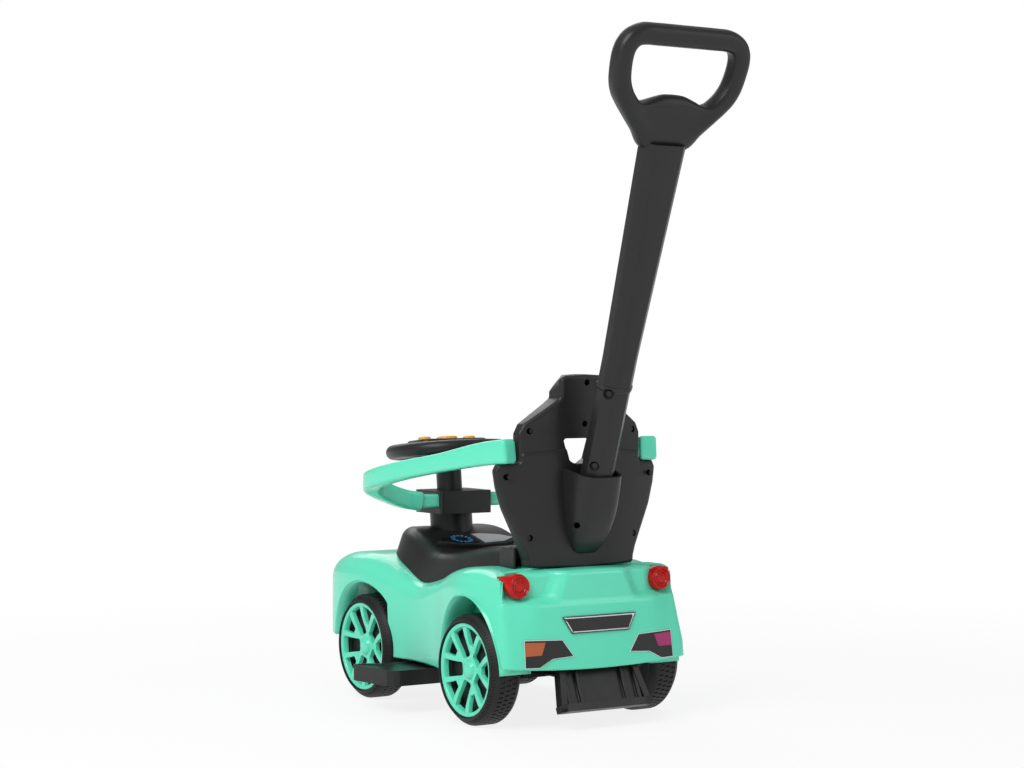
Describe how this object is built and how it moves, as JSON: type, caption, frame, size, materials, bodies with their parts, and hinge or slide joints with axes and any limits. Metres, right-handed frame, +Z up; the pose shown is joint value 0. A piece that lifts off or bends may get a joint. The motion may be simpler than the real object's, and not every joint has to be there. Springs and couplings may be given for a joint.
{
  "type": "push car with handle",
  "caption": "Toddler ride-on push car: moulded body on free wheels, steered front axle, seat with backrest, guard rail, slide-out footrests and a lift-out push handle with a closed grip.",
  "frame": {"origin": "on the floor under the middle of the overall box", "axes": "+Y forward, +X to the car's right, +Z up"},
  "size_m": [0.394, 0.7191, 0.8854],
  "materials": {
    "mint_plastic": "glossy moulded plastic",
    "black_plastic": "satin moulded plastic",
    "tyre_plastic": "hard blow-moulded plastic",
    "red_lens": "clear red lens",
    "clear_lens": "frosted clear lens",
    "gauge_panel": "printed gloss panel",
    "yellow_plastic": "glossy button",
    "steel": "zinc plated"
  },
  "bodies": {
    "chassis": {"body_shell": "mint_plastic", "guard_rail": "mint_plastic", "dash_console": "black_plastic", "column_collar": "black_plastic", "backrest_front": "black_plastic", "backrest_rear": "black_plastic", "guard_rail_clip": "black_plastic", "rear_support": "black_plastic", "footrest_tray": "black_plastic", "storage_tub": "black_plastic", "chassis_pan": "black_plastic", "front_axle_beam": "black_plastic", "column_bush": "black_plastic", "rear_axle_bushes": "black_plastic", "tail_light_left": "red_lens", "tail_light_right": "red_lens", "headlight_left": "clear_lens", "headlight_right": "clear_lens", "instrument_panel": "gauge_panel", "rear_axle": "steel", "kingpins": "steel", "seat_hinge_pin": "steel", "backrest_screws": "steel", "chassis_screws": "steel"},
    "seat": {"seat_lid": "black_plastic"},
    "handle": {"handle_sleeve_front": "black_plastic", "handle_sleeve_rear": "black_plastic", "push_rod": "black_plastic", "push_grip": "black_plastic", "handle_screws": "steel"},
    "footrest_l": {"footrest_left": "black_plastic"},
    "footrest_r": {"footrest_right": "black_plastic"},
    "steering": {"steering_column": "black_plastic", "column_screw": "steel", "steering_wheel": "black_plastic", "sound_module": "black_plastic"},
    "horn": {"horn_button": "yellow_plastic"},
    "left_note": {"left_note_button": "yellow_plastic"},
    "right_note": {"right_note_button": "yellow_plastic"},
    "link": {"tie_rod": "steel"},
    "knuckle_l": {"steering_knuckle_left": "black_plastic"},
    "knuckle_r": {"steering_knuckle_right": "black_plastic"},
    "wheel_rear_left": {"tyre_rear_left": "tyre_plastic", "rim_rear_left": "mint_plastic"},
    "wheel_rear_right": {"tyre_rear_right": "tyre_plastic", "rim_rear_right": "mint_plastic"},
    "wheel_front_left": {"tyre_front_left": "tyre_plastic", "rim_front_left": "mint_plastic"},
    "wheel_front_right": {"tyre_front_right": "tyre_plastic", "rim_front_right": "mint_plastic"}
  },
  "joints": [
    {"name": "seat_lift", "type": "hinge", "parent": "chassis", "child": "seat", "pos_m": [0, -0.074, 0.221], "axis": [1, 0, 0], "range_deg": [0, 75]},
    {"name": "handle_lift", "type": "slide", "parent": "chassis", "child": "handle", "axis": [0, -0.3223, 0.9466], "range_m": [0, 0.12]},
    {"name": "footrest_l_slide", "type": "slide", "parent": "chassis", "child": "footrest_l", "axis": [1, 0, 0], "range_m": [0, 0.045]},
    {"name": "footrest_r_slide", "type": "slide", "parent": "chassis", "child": "footrest_r", "axis": [-1, 0, 0], "range_m": [0, 0.045]},
    {"name": "steering_turn", "type": "hinge", "parent": "chassis", "child": "steering", "pos_m": [0, 0.185, 0.057], "axis": [0, 0.1045, 0.9945], "range_deg": [-30, 30]},
    {"name": "horn_press", "type": "slide", "parent": "steering", "child": "horn", "axis": [0, 0.1045, 0.9945], "range_m": [-0.003, 0], "stiffness_N_per_m": 200},
    {"name": "left_note_press", "type": "slide", "parent": "steering", "child": "left_note", "axis": [0, 0.1045, 0.9945], "range_m": [-0.003, 0], "stiffness_N_per_m": 200},
    {"name": "right_note_press", "type": "slide", "parent": "steering", "child": "right_note", "axis": [0, 0.1045, 0.9945], "range_m": [-0.003, 0], "stiffness_N_per_m": 200},
    {"name": "link_shift", "type": "slide", "parent": "chassis", "child": "link", "axis": [1, 0, 0], "range_m": [-0.0094, 0.0094]},
    {"name": "knuckle_l_turn", "type": "hinge", "parent": "chassis", "child": "knuckle_l", "pos_m": [-0.1, 0.22, 0.0725], "axis": [0, 0, 1], "range_deg": [-15, 15]},
    {"name": "knuckle_r_turn", "type": "hinge", "parent": "chassis", "child": "knuckle_r", "pos_m": [0.1, 0.22, 0.0725], "axis": [0, 0, 1], "range_deg": [-15, 15]},
    {"name": "wheel_rear_left_spin", "type": "hinge", "parent": "chassis", "child": "wheel_rear_left", "pos_m": [-0.126, -0.07, 0.0725], "axis": [1, 0, 0], "continuous": true},
    {"name": "wheel_rear_right_spin", "type": "hinge", "parent": "chassis", "child": "wheel_rear_right", "pos_m": [0.126, -0.07, 0.0725], "axis": [1, 0, 0], "continuous": true},
    {"name": "wheel_front_left_spin", "type": "hinge", "parent": "knuckle_l", "child": "wheel_front_left", "pos_m": [-0.117, 0.22, 0.0725], "axis": [1, 0, 0], "continuous": true},
    {"name": "wheel_front_right_spin", "type": "hinge", "parent": "knuckle_r", "child": "wheel_front_right", "pos_m": [0.117, 0.22, 0.0725], "axis": [1, 0, 0], "continuous": true}
  ],
  "couplings": [
    {"joint": "link_shift", "follows": "steering_turn", "m_per_rad": 0.0178},
    {"joint": "knuckle_l_turn", "follows": "steering_turn", "ratio": 0.5},
    {"joint": "knuckle_r_turn", "follows": "steering_turn", "ratio": 0.5}
  ]
}
